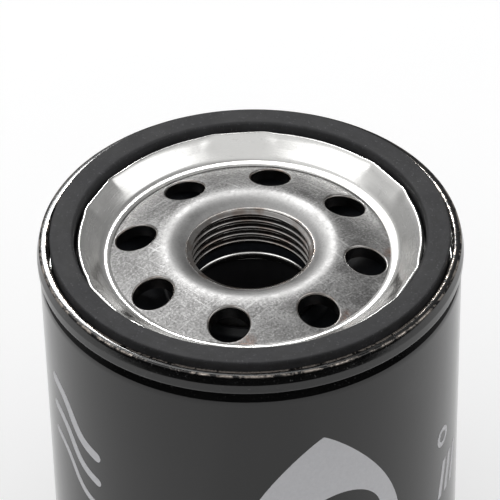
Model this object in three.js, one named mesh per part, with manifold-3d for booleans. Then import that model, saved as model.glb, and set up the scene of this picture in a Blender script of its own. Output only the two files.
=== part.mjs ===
// Spin-on oil filter for a small engine, standing on its closed end with the thread up.
// Millimetres, +Z up along the thread axis, origin at the centre of the closed end.
import * as THREE from 'three';
import { mergeVertices } from 'three/addons/utils/BufferGeometryUtils.js';
import Module from 'manifold-3d';

const wasm = await Module();
wasm.setup();

// ---- Driving dimensions ----
const HEIGHT = 88.5; // closed end to gasket face
const BODY_R = 36.8; // outside of the can's straight wall
const SEAM_R = 37.1; // outside of the rolled double seam
const SHEET = 0.35; // can and lid steel
const CAP_SHEET = 0.4; // end caps and bypass valve steel
const LAYER_GAP = 0.0625; // between neighbouring layers of the double seam
const FIT = 0.1; // between pieces that touch along a common axis

// ---- Roundness of the model ----
const LARGE_SIDES = 48;
const SMALL_SIDES = 32;
const THREAD_STEPS = 12; // per turn

// ---- Can: wrench flutes and dome ----
const FLUTES = 15;
const FLUTE_TOP = 20;
const FLUTE_DEPTH = 2.4; // how far a flat's middle lies inside the wall at the closed end
const DOME_FLAT_R = 29; // outer edge of the ring that the filter stands on
const DIMPLE_R = 13;
const DIMPLE_DEPTH = 1.2;

// ---- Gasket and its channel in the lid ----
const GASKET_OUTER_R = 34.75;
const GASKET_INNER_R = 30.6;
const GASKET_HEIGHT = 5.5;
const RIDGE_R = 30.3; // middle of the channel's inner wall at a clinch corner
const RIDGE_DEPTH = 1.45;
const CLINCHES = 6;
const CLINCH_START = 30; // degrees from +X to the middle of the first clinch flat
const CLINCH_HALF = 7.5; // degrees from a flat's middle to its corner
const CLINCH_PROUD = 0.35; // how far the corners stand out of the round stretches
const LIP_R = 24.4; // inner edge of the lid
const LIP_DEPTH = 4.78;

// ---- Base plate ----
const PLATE_THICKNESS = 2.4;
const PLATE_R = 34.3;
const INLETS = 8;
const INLET_CIRCLE_R = 20.3;
const INLET_R = 3.5;
const INLET_START = -14.5; // degrees from +X to the first inlet hole
const THREAD_MAJOR_R = 11;
const THREAD_MINOR_R = 10.19; // M22 x 1.5
const THREAD_PITCH = 1.5;
const HUB_R = 13.1;
const HUB_END = 11.2; // depth of the hub's lower end

// ---- Filter element ----
const COLLAR_END = 13.6; // depth of the anti-drainback collar's lower face
const ELEMENT_TOP = 13.7;
const ELEMENT_BOTTOM = 14.5; // height of the lower end cap above the closed end
const ELEMENT_R = 31.6;
const MEDIA_R = 30.4;
const MEDIA_INNER_R = 13.5;
const PLEATS = 36;
const PAPER = 0.5;
const ADHESIVE = 1.4;
const TUBE_R = 12.9;
const TUBE_WALL = 1;
const NECK_R = 10.6; // bore of the collar and the upper cap's neck

// ---- Bypass valve in the lower end cap ----
const SEAT_R = 6.6;
const VALVE_R = 9;
const SEAL_THICKNESS = 1.4;
const CAGE_R = 11;
const CAGE_HEIGHT = 15.5;
const CAGE_SHEET = 0.8;
const STEM_R = 1.5;

// ---- Springs ----
const DOME_SPRING_R = 19;
const DOME_WIRE_R = 1.1;
const DOME_TURNS = 2.5;
const VALVE_SPRING_R = 5.6;
const VALVE_WIRE_R = 0.5;
const VALVE_TURNS = 5;

const below = (depth) => HEIGHT - depth;
const radians = THREE.MathUtils.degToRad;

// ---- Outlines of [radius, height] points ----

// Points on an arc, both ends included, angles in degrees.
function arc(r, z, radius, from, to, steps) {
  const points = [];
  for (let i = 0; i <= steps; i += 1) {
    const angle = radians(from + ((to - from) * i) / steps);
    points.push([r + radius * Math.cos(angle), z + radius * Math.sin(angle)]);
  }
  return points;
}

// The line at a distance to the left of a bent line, with mitred corners.
function beside(line, distance) {
  const points = line.map(([r, z]) => new THREE.Vector2(r, z));
  const normals = points.slice(1).map((point, i) => {
    const along = point.clone().sub(points[i]).normalize();
    return new THREE.Vector2(-along.y, along.x);
  });
  return points.map((point, i) => {
    const before = normals[Math.max(i - 1, 0)];
    const after = normals[Math.min(i, normals.length - 1)];
    const mitre = before.clone().add(after).normalize();
    const moved = point.clone().addScaledVector(mitre, distance / mitre.dot(after));
    return [moved.x, moved.y];
  });
}

// The closed outline of sheet metal whose middle follows a bent line.
function sheet(line, thickness) {
  return [...beside(line, thickness / 2), ...beside(line, -thickness / 2).reverse()];
}

// ---- Solids ----

// A closed indexed geometry that holds positions only, with its faces pointing out.
function weld(source) {
  const bare = source.clone();
  bare.deleteAttribute('normal');
  bare.deleteAttribute('uv');
  const merged = mergeVertices(bare, 1e-4);
  const corners = merged.index.array;
  const position = merged.attributes.position;
  const faces = [];
  let volume = 0;
  for (let i = 0; i < corners.length; i += 3) {
    const [a, b, c] = corners.slice(i, i + 3);
    if (a === b || b === c || c === a) continue;
    faces.push(a, b, c);
    const [p, q, s] = [a, b, c].map((k) => new THREE.Vector3().fromBufferAttribute(position, k));
    volume += p.dot(q.cross(s));
  }
  merged.setIndex(volume < 0 ? faces.reverse() : faces);
  return merged;
}

function toSolid(source) {
  const geometry = weld(source);
  const vertProperties = new Float32Array(geometry.attributes.position.array);
  const triVerts = new Uint32Array(geometry.index.array);
  return new wasm.Manifold(new wasm.Mesh({ numProp: 3, vertProperties, triVerts }));
}

function toGeometry(solid) {
  const mesh = solid.getMesh();
  const geometry = new THREE.BufferGeometry();
  geometry.setAttribute('position', new THREE.BufferAttribute(mesh.vertProperties, 3));
  geometry.setIndex(new THREE.BufferAttribute(mesh.triVerts, 1));
  return geometry;
}

function cut(source, tools) {
  return toGeometry(tools.reduce((left, tool) => left.subtract(toSolid(tool)), toSolid(source)));
}

function join(pieces) {
  return toGeometry(pieces.map(toSolid).reduce((left, piece) => left.add(piece)));
}

// A turned solid about Z. An outline that touches the axis starts and ends on it.
function turned(outline, sides = LARGE_SIDES) {
  const points = outline.map(([r, z]) => new THREE.Vector2(r, z));
  if (outline[0][0] > 0) points.push(points[0].clone());
  return weld(new THREE.LatheGeometry(points, sides).rotateX(Math.PI / 2));
}

function band(innerR, outerR, low, high, sides = SMALL_SIDES) {
  return turned([[innerR, low], [outerR, low], [outerR, high], [innerR, high]], sides);
}

function plug(radius, low, high, sides) {
  return turned([[0, low], [radius, low], [radius, high], [0, high]], sides);
}

// A helix about Z whose section keeps its own upright, so that an extrusion along it never twists.
class Helix extends THREE.Curve {
  constructor(radius, start, pitch, turns) {
    super();
    Object.assign(this, { radius, start, pitch, turns });
  }

  getPoint(t, target = new THREE.Vector3()) {
    const angle = t * this.turns * 2 * Math.PI;
    const height = this.start + t * this.turns * this.pitch;
    return target.set(this.radius * Math.cos(angle), this.radius * Math.sin(angle), height);
  }

  getPointAt(t, target) {
    return this.getPoint(t, target);
  }

  computeFrenetFrames(steps) {
    const frames = { tangents: [], normals: [], binormals: [] };
    for (let i = 0; i <= steps; i += 1) {
      const angle = (i / steps) * this.turns * 2 * Math.PI;
      frames.tangents.push(new THREE.Vector3(-Math.sin(angle), Math.cos(angle), 0));
      frames.normals.push(new THREE.Vector3(Math.cos(angle), Math.sin(angle), 0));
      frames.binormals.push(new THREE.Vector3(0, 0, 1));
    }
    return frames;
  }
}

function sweep(section, helix, stepsPerTurn) {
  const steps = Math.round(helix.turns * stepsPerTurn);
  const shape = new THREE.Shape(section.map(([out, up]) => new THREE.Vector2(out, up)));
  return new THREE.ExtrudeGeometry(shape, { steps, extrudePath: helix });
}

function coil(radius, wireR, low, high, turns, stepsPerTurn) {
  const helix = new Helix(radius, low + wireR, (high - low - 2 * wireR) / turns, turns);
  const section = arc(0, 0, wireR, 0, 360, 6).slice(0, -1);
  return weld(sweep(section, helix, stepsPerTurn));
}

function extruded(points, low, high, holes = []) {
  const outline = (list) => list.map(([x, y]) => new THREE.Vector2(x, y));
  const shape = new THREE.Shape(outline(points));
  shape.holes = holes.map((hole) => new THREE.Path(outline(hole)));
  const block = new THREE.ExtrudeGeometry(shape, { depth: high - low, bevelEnabled: false });
  return block.translate(0, 0, low);
}

// ---- The rolled double seam: five layers, numbered from the outside in ----

const TIGHT_BEND = SHEET + LAYER_GAP;
const CROWN_DEPTH = 1.575; // middle of the cover's flat top
const TAPER_DEPTH = 2.6; // where the seam's face starts to lean in to the top
const COMPOUND_DEPTH = 2.03;
const COMPOUND_HEIGHT = 0.25;
const HOOK_BEND_DEPTH = 2.95;
const HOOK_END_DEPTH = 4.35;
const CURL_DEPTH = 4.6;
const COVER_HOOK_DEPTH = 3.3;
const NECK_DEPTH = 5.6; // where the wall leaves the seam
const SHOULDER_DEPTH = 7.1;
const SHOULDER_LEAN = 0.1; // how far the wall has leaned in at the shoulder
const STRAIGHT_DEPTH = 8.3; // where the wall is straight again
const layer = (number) => SEAM_R - SHEET / 2 - number * TIGHT_BEND;

// A bead of dried compound left in the crown of the seam.
function seamCompound() {
  const high = below(COMPOUND_DEPTH);
  return band(layer(3) + FIT, layer(1) - FIT, high - COMPOUND_HEIGHT, high, LARGE_SIDES);
}

// ---- Can ----

function canShell() {
  const wallR = BODY_R - SHEET / 2;
  const cornerR = wallR - DOME_FLAT_R;
  const floor = SHEET / 2;
  const joinHeight = FLUTE_TOP + 2;
  const dome = [
    [0, floor + DIMPLE_DEPTH],
    [DIMPLE_R, floor + DIMPLE_DEPTH],
    [DIMPLE_R + 2, floor],
    ...arc(DOME_FLAT_R, floor + cornerR, cornerR, -90, 0, 4),
    [wallR, joinHeight],
  ];
  const wall = [
    [wallR, joinHeight],
    [wallR, below(STRAIGHT_DEPTH)],
    [wallR - SHOULDER_LEAN, below(SHOULDER_DEPTH)],
    [layer(3), below(NECK_DEPTH)],
    ...arc(layer(2), below(HOOK_BEND_DEPTH), TIGHT_BEND, 180, 0, 4),
    [layer(1), below(HOOK_END_DEPTH)],
  ];
  const closed = (side) => turned([...side, [0, joinHeight]]);
  const outside = toSolid(closed(beside(dome, -SHEET / 2)));
  const inside = toSolid(closed(beside(dome, SHEET / 2)));
  const fluted = outside.intersect(flutePrism(0)).subtract(inside.intersect(flutePrism(SHEET)));
  return toGeometry(fluted.add(toSolid(turned(sheet(wall, SHEET)))));
}

// A tapered prism whose flats press the wrench flutes into the wall.
function flutePrism(inset) {
  const height = FLUTE_TOP + 4;
  const lowR = BODY_R - FLUTE_DEPTH - inset;
  const rise = (FLUTE_DEPTH * height) / FLUTE_TOP;
  const toCorner = 1 / Math.cos(Math.PI / FLUTES);
  const prism = new THREE.CylinderGeometry((lowR + rise) * toCorner, lowR * toCorner, height, FLUTES);
  return toSolid(prism.rotateX(Math.PI / 2).translate(0, 0, height / 2));
}

// ---- Lid: seam cover, gasket channel, clinched ridge and lip ----

function seamingLid() {
  const floorDepth = GASKET_HEIGHT + FIT / 2 + SHEET / 2;
  const ridgeR = RIDGE_R - CLINCH_PROUD;
  const bend = 0.3;
  const line = [
    [layer(2), below(COVER_HOOK_DEPTH)],
    ...arc(layer(1), below(CURL_DEPTH), TIGHT_BEND, 180, 360, 3),
    [layer(0), below(TAPER_DEPTH)],
    [layer(0) - 0.17, below(CROWN_DEPTH + 0.22)],
    [layer(0) - 0.36, below(CROWN_DEPTH)],
    [layer(4) + bend, below(CROWN_DEPTH)],
    [layer(4), below(CROWN_DEPTH + bend)],
    [layer(4), below(floorDepth - bend)],
    [layer(4) - bend, below(floorDepth)],
    [ridgeR + bend, below(floorDepth)],
    [ridgeR, below(floorDepth - bend)],
    ...arc(ridgeR - bend, below(RIDGE_DEPTH + SHEET / 2 + bend), bend, 0, 130, 2),
    [LIP_R + 1.5, below(LIP_DEPTH + SHEET / 2)],
    [LIP_R, below(LIP_DEPTH + SHEET / 2)],
  ];
  const lid = turned(sheet(line, SHEET));
  return pressClinches(lid, floorDepth - bend);
}

// Presses flats into the ridge: straight between corners that stand out of the round stretches.
function pressClinches(lid, fromDepth) {
  const position = lid.attributes.position;
  const spacing = radians(360 / CLINCHES);
  const half = radians(CLINCH_HALF);
  for (let i = 0; i < position.count; i += 1) {
    const point = new THREE.Vector3().fromBufferAttribute(position, i);
    const radius = Math.hypot(point.x, point.y);
    const onRidge = radius < GASKET_INNER_R && point.z > below(fromDepth + SHEET);
    if (!onRidge || radius < LIP_R + 2) continue;
    const angle = Math.atan2(point.y, point.x) - radians(CLINCH_START);
    const fromMiddle = angle - spacing * Math.round(angle / spacing);
    if (Math.abs(fromMiddle) > half + 0.01) continue;
    const scale = ((radius + CLINCH_PROUD) * Math.cos(half)) / Math.cos(fromMiddle) / radius;
    position.setXY(i, point.x * scale, point.y * scale);
  }
  return lid;
}

// ---- Base plate: domed disc, extruded and threaded hub, inlet holes ----

function basePlate() {
  const top = [
    [THREAD_MINOR_R, below(4.6)],
    [THREAD_MAJOR_R + 0.1, below(4.05)],
    [12.4, below(3.45)],
    [13.6, below(3.05)],
    [14.8, below(2.95)],
    [16.4, below(3.1)],
    [24, below(5.2)],
    [26.6, below(5.4)],
    [29, below(6.1)],
    [PLATE_R, below(6.1)],
  ];
  const bottom = [
    [PLATE_R, below(6.1 + PLATE_THICKNESS)],
    [28.4, below(6.1 + PLATE_THICKNESS)],
    [26, below(5.5 + PLATE_THICKNESS)],
    [15.4, below(5.6)],
    [HUB_R, below(6.6)],
    [HUB_R, below(HUB_END)],
    [THREAD_MINOR_R + 0.5, below(HUB_END)],
    [THREAD_MINOR_R, below(HUB_END - 0.5)],
  ];
  const inlets = [];
  for (let i = 0; i < INLETS; i += 1) {
    const hole = plug(INLET_R, below(12), below(0), 16).translate(INLET_CIRCLE_R, 0, 0);
    inlets.push(hole.rotateZ(radians(INLET_START + (i * 360) / INLETS)));
  }
  return cut(turned([...top, ...bottom], SMALL_SIDES), [threadGroove(), ...inlets]);
}

function threadGroove() {
  const depth = THREAD_MAJOR_R - THREAD_MINOR_R;
  const over = 0.3; // how far the cutter reaches in from the bore's wall
  const root = THREAD_PITCH / 8;
  const mouth = (depth + over) * Math.tan(radians(30)) + root;
  const section = [[-over, -mouth], [depth, -root], [depth, root], [-over, mouth]];
  const lead = THREAD_PITCH / 2; // how far the cutter runs out at each end
  const turns = (HUB_END - 4 + 2 * lead) / THREAD_PITCH;
  const helix = new Helix(THREAD_MINOR_R, below(HUB_END + lead), THREAD_PITCH, turns);
  return weld(sweep(section, helix, THREAD_STEPS));
}

// ---- Rubber ----

function gasket() {
  const chamfer = 0.4;
  return turned([
    [GASKET_INNER_R + chamfer, below(GASKET_HEIGHT)],
    [GASKET_OUTER_R - chamfer, below(GASKET_HEIGHT)],
    [GASKET_OUTER_R, below(GASKET_HEIGHT - chamfer)],
    [GASKET_OUTER_R, below(chamfer)],
    [GASKET_OUTER_R - chamfer, below(0)],
    [GASKET_INNER_R + chamfer, below(0)],
    [GASKET_INNER_R, below(chamfer)],
    [GASKET_INNER_R, below(GASKET_HEIGHT - chamfer)],
  ]);
}

// A thick collar under the hub and a thin cone whose lip rests under the plate, outside the holes.
function antiDrainbackValve() {
  return turned([
    [NECK_R, below(COLLAR_END)],
    [15.2, below(COLLAR_END)],
    [15.8, below(12.6)],
    [24.6, below(9.4)],
    [27.4, below(9.1)],
    [27.4, below(8.6)],
    [26.4, below(8.1)],
    [25.2, below(8.4)],
    [15, below(11.9)],
    [HUB_R + 0.8, below(10.6)],
    [HUB_R + 0.3, below(10.6)],
    [HUB_R + 0.3, below(HUB_END + FIT)],
    [NECK_R, below(HUB_END + FIT)],
  ], SMALL_SIDES);
}

// ---- Filter element ----

function upperEndCap() {
  const middle = ELEMENT_TOP + CAP_SHEET / 2;
  const line = [
    [NECK_R + CAP_SHEET / 2, below(ELEMENT_TOP + 1.6)],
    [NECK_R + CAP_SHEET / 2, below(middle)],
    [ELEMENT_R - CAP_SHEET / 2, below(middle)],
    [ELEMENT_R - CAP_SHEET / 2, below(ELEMENT_TOP + 3.4)],
  ];
  return turned(sheet(line, CAP_SHEET), SMALL_SIDES);
}

function lowerEndCap() {
  const middle = ELEMENT_BOTTOM + CAP_SHEET / 2;
  const line = [
    [SEAT_R + 1, middle],
    [ELEMENT_R - CAP_SHEET / 2, middle],
    [ELEMENT_R - CAP_SHEET / 2, ELEMENT_BOTTOM + 3.4],
  ];
  return turned(sheet(line, CAP_SHEET), SMALL_SIDES);
}

const CAP_TOP = ELEMENT_BOTTOM + CAP_SHEET;
const MEDIA_LOW = CAP_TOP + ADHESIVE + 2 * FIT;
const MEDIA_HIGH = below(ELEMENT_TOP + CAP_SHEET + ADHESIVE + 2 * FIT);
const POTTING_R = ELEMENT_R - CAP_SHEET - 2 * FIT;

function lowerAdhesive() {
  return band(TUBE_R + FIT, POTTING_R, CAP_TOP + FIT, CAP_TOP + FIT + ADHESIVE);
}

function upperAdhesive() {
  return band(TUBE_R + FIT, POTTING_R, MEDIA_HIGH + FIT, MEDIA_HIGH + FIT + ADHESIVE);
}

// One folded strip of paper round the tube, with its two ends side by side at the clip.
function filterMedia() {
  const pitch = 360 / PLEATS;
  const outerR = MEDIA_R - PAPER / 2;
  const innerR = MEDIA_INNER_R + PAPER / 2;
  const polar = (radius, degrees) => [
    radius * Math.cos(radians(degrees)),
    radius * Math.sin(radians(degrees)),
  ];
  const flat = (radius, degrees, width) => {
    const half = THREE.MathUtils.radToDeg(width / 2 / radius);
    return [polar(radius, degrees - half), polar(radius, degrees + half)];
  };
  const ends = flat(outerR, 0, 2 * PAPER);
  const line = [ends[1]];
  for (let i = 0; i < PLEATS; i += 1) {
    line.push(...flat(innerR, (i + 0.5) * pitch, 1.4 * PAPER));
    if (i < PLEATS - 1) line.push(...flat(outerR, (i + 1) * pitch, 3 * PAPER));
  }
  line.push(ends[0]);
  return weld(extruded(sheet(line, PAPER), MEDIA_LOW, MEDIA_HIGH));
}

// A strip of sheet folded over the paper's two ends.
function seamClip() {
  const clipSheet = 0.3;
  const half = 1.3 - clipSheet / 2;
  const inner = MEDIA_R - 3.5;
  const outer = MEDIA_R + clipSheet;
  const line = [[inner, half], [outer, half], [outer, -half], [inner, -half]];
  return weld(extruded(sheet(line, clipSheet), MEDIA_LOW, MEDIA_HIGH));
}

// A moulded tube with six columns of round holes, one column at +X.
function centreTube() {
  const low = CAP_TOP + FIT;
  const high = below(ELEMENT_TOP + CAP_SHEET + FIT);
  const sides = 18;
  const columns = 6;
  const rows = 5;
  const holeR = 1.7;
  const step = (high - low) / (rows + 0.75);
  const tube = band(TUBE_R - TUBE_WALL, TUBE_R, low, high, sides).rotateZ(radians(180 / sides));
  const holes = [];
  for (let column = 0; column < columns; column += 1) {
    for (let row = 0; row < rows; row += 1) {
      const drill = new THREE.CylinderGeometry(holeR, holeR, 6, 8).rotateZ(Math.PI / 2);
      drill.translate(TUBE_R, 0, low + step * (row + 0.875));
      holes.push(drill.rotateZ(radians((column * 360) / columns)));
    }
  }
  return cut(tube, holes);
}

// ---- Bypass valve ----

const SEAT_FLANGE = 0.5;
const FLANGE_R = 10.6;
const SEAT_TOP = CAP_TOP + 1.6;
const SEAL_TOP = SEAT_TOP + FIT + SEAL_THICKNESS;
const DISC_TOP = SEAL_TOP + FIT + CAP_SHEET;
const CAGE_TOP = CAP_TOP + CAGE_HEIGHT;

function bypassSeat() {
  return turned([
    [SEAT_R, CAP_TOP + FIT],
    [FLANGE_R, CAP_TOP + FIT],
    [FLANGE_R, CAP_TOP + FIT + SEAT_FLANGE],
    [SEAT_R + 1.6, CAP_TOP + FIT + SEAT_FLANGE],
    [SEAT_R + 0.9, SEAT_TOP],
    [SEAT_R + 0.3, SEAT_TOP],
    [SEAT_R, SEAT_TOP - 0.3],
  ], 24);
}

function bypassSeal() {
  return band(STEM_R + FIT, VALVE_R, SEAT_TOP + FIT, SEAL_TOP, 24);
}

function bypassDisc() {
  const line = [
    [STEM_R + FIT, DISC_TOP - CAP_SHEET / 2],
    [VALVE_R + 0.35, DISC_TOP - CAP_SHEET / 2],
    [VALVE_R + 0.35, DISC_TOP - 1.4],
  ];
  return turned(sheet(line, CAP_SHEET), 24);
}

function bypassStem() {
  return turned([
    [0, SEAT_TOP - 0.9],
    [2.6, SEAT_TOP - 0.7],
    [3, SEAT_TOP],
    [STEM_R, SEAT_TOP],
    [STEM_R, DISC_TOP + FIT],
    [2.6, DISC_TOP + FIT],
    [2.6, DISC_TOP + 0.9],
    [STEM_R, DISC_TOP + 1.3],
    [STEM_R, CAGE_TOP + 1.5],
    [0, CAGE_TOP + 2],
  ], 16);
}

// A stamped cage: a top plate with a guide hole for the stem, and three legs down to the seat.
function bypassCage() {
  const legs = 3;
  const legWidth = 4;
  const foot = CAP_TOP + SEAT_FLANGE + 2 * FIT;
  const pieces = [band(STEM_R + 0.3, CAGE_R, CAGE_TOP - CAGE_SHEET, CAGE_TOP, 24)];
  for (let i = 0; i < legs; i += 1) {
    const leg = new THREE.BoxGeometry(CAGE_SHEET, legWidth, CAGE_TOP - foot);
    leg.translate(CAGE_R - 0.6, 0, (CAGE_TOP + foot) / 2);
    pieces.push(leg.rotateZ(radians((i * 360) / legs)));
  }
  return join(pieces);
}

// ---- Springs ----

function bypassSpring() {
  const high = CAGE_TOP - CAGE_SHEET - FIT;
  return coil(VALVE_SPRING_R, VALVE_WIRE_R, DISC_TOP + FIT, high, VALVE_TURNS, 14);
}

function domeSpring() {
  return coil(DOME_SPRING_R, DOME_WIRE_R, SHEET + FIT, ELEMENT_BOTTOM - FIT, DOME_TURNS, 20);
}

// ---- Assembly ----

function finish(color, roughness, metalness) {
  return new THREE.MeshStandardMaterial({ color, roughness, metalness });
}

const blackPaint = finish(0x2b2b2d, 0.35, 0);
const tinPlate = finish(0xd8d8d6, 0.25, 1);
const millSteel = finish(0x9a9a9a, 0.45, 1);
const springSteel = finish(0x77777a, 0.4, 1);
const nitrile = finish(0x3c3c3e, 0.8, 0);
const darkNitrile = finish(0x22252a, 0.6, 0);
const paper = finish(0xc9b48a, 0.9, 0);
const plastisol = finish(0x8c4a3a, 0.7, 0);
const compound = finish(0x5a5a58, 0.8, 0);
const nylon = finish(0x1c1c1e, 0.55, 0);

const filter = new THREE.Group();

function add(name, geometry, material) {
  const mesh = new THREE.Mesh(geometry, material);
  mesh.name = name;
  filter.add(mesh);
}

add('can', canShell(), blackPaint);
add('seaming_lid', seamingLid(), tinPlate);
add('seam_compound', seamCompound(), compound);
add('base_plate', basePlate(), millSteel);
add('sealing_gasket', gasket(), nitrile);
add('anti_drainback_valve', antiDrainbackValve(), darkNitrile);
add('upper_end_cap', upperEndCap(), tinPlate);
add('upper_adhesive', upperAdhesive(), plastisol);
add('filter_media', filterMedia(), paper);
add('media_seam_clip', seamClip(), tinPlate);
add('centre_tube', centreTube(), nylon);
add('lower_adhesive', lowerAdhesive(), plastisol);
add('lower_end_cap', lowerEndCap(), tinPlate);
add('bypass_seat', bypassSeat(), millSteel);
add('bypass_seal', bypassSeal(), nitrile);
add('bypass_disc', bypassDisc(), tinPlate);
add('bypass_stem', bypassStem(), millSteel);
add('bypass_spring', bypassSpring(), springSteel);
add('bypass_cage', bypassCage(), tinPlate);
add('dome_spring', domeSpring(), springSteel);

export default filter;
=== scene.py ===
import math

import bmesh
import bpy
import numpy as np
from mathutils import Matrix, Vector


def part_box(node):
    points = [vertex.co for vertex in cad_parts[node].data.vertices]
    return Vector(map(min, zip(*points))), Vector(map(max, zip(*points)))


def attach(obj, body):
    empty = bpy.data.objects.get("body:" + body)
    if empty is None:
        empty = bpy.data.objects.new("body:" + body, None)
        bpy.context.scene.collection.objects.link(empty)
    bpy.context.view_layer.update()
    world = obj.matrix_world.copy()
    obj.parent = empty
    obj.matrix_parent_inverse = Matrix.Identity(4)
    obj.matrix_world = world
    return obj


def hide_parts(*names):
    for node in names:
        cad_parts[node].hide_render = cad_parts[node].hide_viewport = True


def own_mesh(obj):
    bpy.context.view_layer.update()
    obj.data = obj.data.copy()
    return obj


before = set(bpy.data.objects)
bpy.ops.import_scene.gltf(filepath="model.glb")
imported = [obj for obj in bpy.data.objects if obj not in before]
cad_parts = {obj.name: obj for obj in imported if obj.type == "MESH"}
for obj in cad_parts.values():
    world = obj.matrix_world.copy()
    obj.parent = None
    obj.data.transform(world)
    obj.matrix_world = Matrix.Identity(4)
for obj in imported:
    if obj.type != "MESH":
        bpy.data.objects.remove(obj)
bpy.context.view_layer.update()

# Looks of a spin-on oil filter. Blender works in metres; the sizes below are in millimetres,
# about the thread axis, and depths are measured down from the gasket's top face.

MM = 0.001
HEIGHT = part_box("sealing_gasket")[1].z / MM
SEAM_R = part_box("seaming_lid")[1].x / MM
GASKET_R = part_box("sealing_gasket")[1].x / MM
GASKET_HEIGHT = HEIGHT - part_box("sealing_gasket")[0].z / MM
PLATE_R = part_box("base_plate")[1].x / MM
ELEMENT_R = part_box("upper_end_cap")[1].x / MM
ELEMENT_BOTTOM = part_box("lower_end_cap")[0].z / MM
ELEMENT_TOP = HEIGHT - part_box("upper_end_cap")[1].z / MM

SHEET = 0.35
CAP_SHEET = 0.4
LAYER_GAP = 0.0625
BODY_R = 36.8
STRAIGHT_DEPTH = 7.65     # above this the wall leans in to the shoulder
SHOULDER_DEPTH = 7.1
NECK_DEPTH = 5.6

FLUTES = 15
FLUTE_TOP = 20
FLUTE_DEPTH = 2.4
FLUTE_START = -78
FLUTE_SOFT = 0.5          # half the width over which a flute's edges are rounded
FLUTE_FADE = 3            # height above a flute's tip in which its rounded edge may still cut
DOME_FLAT_R = 29
DIMPLE_R = 13
DIMPLE_DEPTH = 1.2

GASKET_INNER_R = 30.6
RIDGE_R = 30.3
RIDGE_DEPTH = 1.45
CLINCHES = 6
CLINCH_START = 30
CLINCH_HALF = 8.3
CLINCH_PROUD = 0.35
CLINCH_FADE = 6.5         # degrees over which the ridge turns round again beside a corner
CLINCH_R = 26.6           # the flats grow from here outwards
CLINCH_FULL_R = 28.8      # to here
CLINCH_DEPTH = 5          # and on the ridge's outside from here up
CLINCH_FULL_DEPTH = 3.6   # to here
CLINCH_FOOT = 0.35        # share of a flat at its foot there
LIP_R = 24.4
LIP_DEPTH = 4.78

INLETS = 8
INLET_START = -14.5
INLET_CIRCLE_R = 20.3
INLET_R = 3.5
PLATE_THICKNESS = 2.4
THREAD_MAJOR_R = 11
THREAD_MINOR_R = 10.19
THREAD_PITCH = 1.5
HUB_R = 13.1
HUB_END = 11.2

COLLAR_END = 13.6
NECK_R = 10.6
MEDIA_R = 30.4
MEDIA_INNER_R = 13.5
PLEATS = 36
PAPER = 0.5
ADHESIVE = 1.4
TUBE_R = 12.9
TUBE_WALL = 1
FIT = 0.1

SEAT_R = 6.6
VALVE_R = 9
SEAL_THICKNESS = 1.4
CAGE_R = 11
CAGE_HEIGHT = 15.5
CAGE_SHEET = 0.8
LEG_HALF = 2
SEAT_FLANGE = 0.5
FLANGE_R = 10.6
STEM_R = 1.5
DOME_SPRING_R = 19
DOME_WIRE_R = 1.1
DOME_TURNS = 2.5
VALVE_SPRING_R = 5.6
VALVE_WIRE_R = 0.5
VALVE_TURNS = 5


def below(depth):
    return HEIGHT - depth


# ---- The rolled double seam: five layers, numbered from the outside in ----

TIGHT_BEND = SHEET + LAYER_GAP
CROWN_DEPTH = 1.575       # middle of the cover's flat top
TAPER_DEPTH = 3.2         # where the seam's face starts to lean in to the top
TAPER = 0.4
HOOK_BEND_DEPTH = 3.1
HOOK_END_DEPTH = 4.35
CURL_DEPTH = 4.6
COVER_HOOK_DEPTH = 3.3


def layer(number):
    return SEAM_R - SHEET / 2 - number * TIGHT_BEND


# ---- Small helpers ----

def polar(radius, degrees):
    angle = math.radians(degrees)
    return radius * math.cos(angle), radius * math.sin(angle)


def aside(angle, start, count):
    """The angle from the nearest of evenly spaced places round the axis, the first at start degrees."""
    spacing = 2 * math.pi / count
    return (angle - math.radians(start) + spacing / 2) % spacing - spacing / 2


def placed(name, data):
    thing = bpy.data.objects.new(name, data)
    bpy.context.scene.collection.objects.link(thing)
    return thing


# ---- Camera: the photograph's view ----

VIEW_TURN = -3.6          # degrees, from the object's own front to the photographed front
CAMERA_ELEVATION = 39.167
CAMERA_ROLL = -1.245
CAMERA_DISTANCE = 599.24  # from the middle of the gasket's top face
FOCAL = 6.9172            # focal length over the width of the picture
AIM_RIGHT = 0.000714      # where that middle lies, from the picture's centre, in widths of the picture
AIM_UP = 0.03964


def add_camera():
    elevation = math.radians(CAMERA_ELEVATION)
    roll = math.radians(CAMERA_ROLL)
    back = Vector((0, -math.cos(elevation), math.sin(elevation)))
    right = Vector((1, 0, 0))
    up = back.cross(right)
    per_width = CAMERA_DISTANCE / FOCAL
    eye = back * CAMERA_DISTANCE
    target = -right * AIM_RIGHT * per_width - up * AIM_UP * per_width
    forward = (target - eye).normalized()
    flat_right = forward.cross(Vector((0, 0, 1))).normalized()
    flat_up = flat_right.cross(forward)
    tilted_right = flat_right * math.cos(roll) + flat_up * math.sin(roll)
    tilted_up = flat_up * math.cos(roll) - flat_right * math.sin(roll)
    rows = Matrix((tilted_right, tilted_up, -forward)).transposed().to_4x4()
    place = Matrix.Translation((eye + Vector((0, 0, HEIGHT))) * MM)
    turn = Matrix.Rotation(math.radians(VIEW_TURN), 4, "Z")
    data = bpy.data.cameras.new("camera")
    data.sensor_width = 36
    data.lens = FOCAL * data.sensor_width
    data.clip_start = 0.01
    camera = placed("camera", data)
    camera.matrix_world = turn @ place @ rows
    bpy.context.scene.camera = camera


add_camera()


# ---- Outlines: lists of [radius, height] points ----

def arc(r, z, radius, start, end, steps):
    angles = np.radians(np.linspace(start, end, steps + 1))
    return [[r + radius * math.cos(a), z + radius * math.sin(a)] for a in angles]


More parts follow.
